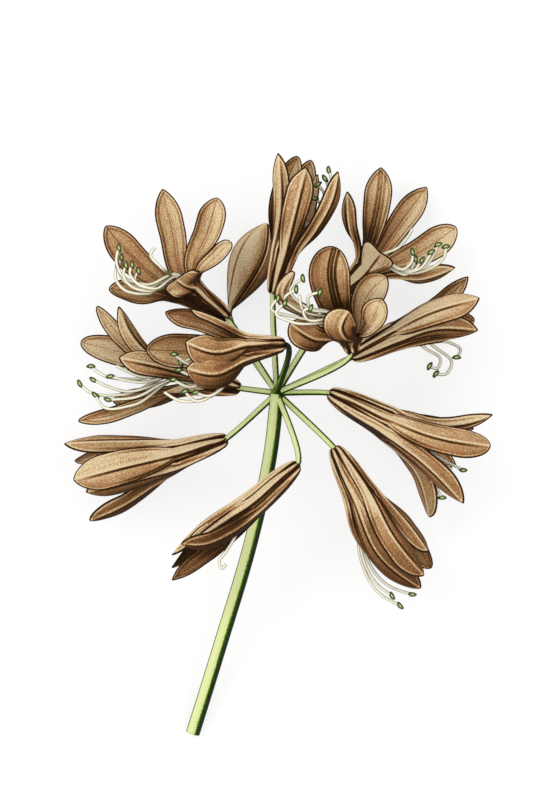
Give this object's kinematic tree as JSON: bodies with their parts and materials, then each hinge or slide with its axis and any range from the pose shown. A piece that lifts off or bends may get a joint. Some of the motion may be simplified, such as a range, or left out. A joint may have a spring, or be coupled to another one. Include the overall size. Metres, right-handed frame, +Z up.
{
  "type": "agapanthus flower head",
  "caption": "Cut umbel of funnel-shaped brown blooms with long cream stamens, on slim stems that meet at the top of a green stalk, laid down on its back.",
  "frame": {"origin": "centre of the bounding box in X and Y, on the surface that the flower head lies on", "axes": "+Y along the flower head from the cut end of the stalk to the topmost petals, +Z up from the surface, +X to the right as seen from above"},
  "size_m": [0.1434, 0.1948, 0.0597],
  "materials": {
    "stem": "satin",
    "petal": "satin",
    "stamen": "satin"
  },
  "bodies": {
    "root": {"flower_stalk": "stem", "petals_top": "petal", "stamens_top": "stamen", "petals_front_left": "petal", "stamens_front_left": "stamen", "petals_upper_left": "petal", "stamens_upper_left": "stamen", "petals_left": "petal", "stamens_left": "stamen", "petals_lower_left": "petal", "stamens_lower_left": "stamen", "petals_bottom": "petal", "stamens_bottom": "stamen", "petals_lower_right": "petal", "stamens_lower_right": "stamen", "petals_right": "petal", "stamens_right": "stamen", "petals_right_upper": "petal", "stamens_right_upper": "stamen", "petals_centre": "petal", "stamens_centre": "stamen", "petals_upper_right": "petal", "stamens_upper_right": "stamen", "bud_upper_left": "petal", "bud_centre": "petal"}
  },
  "joints": []
}
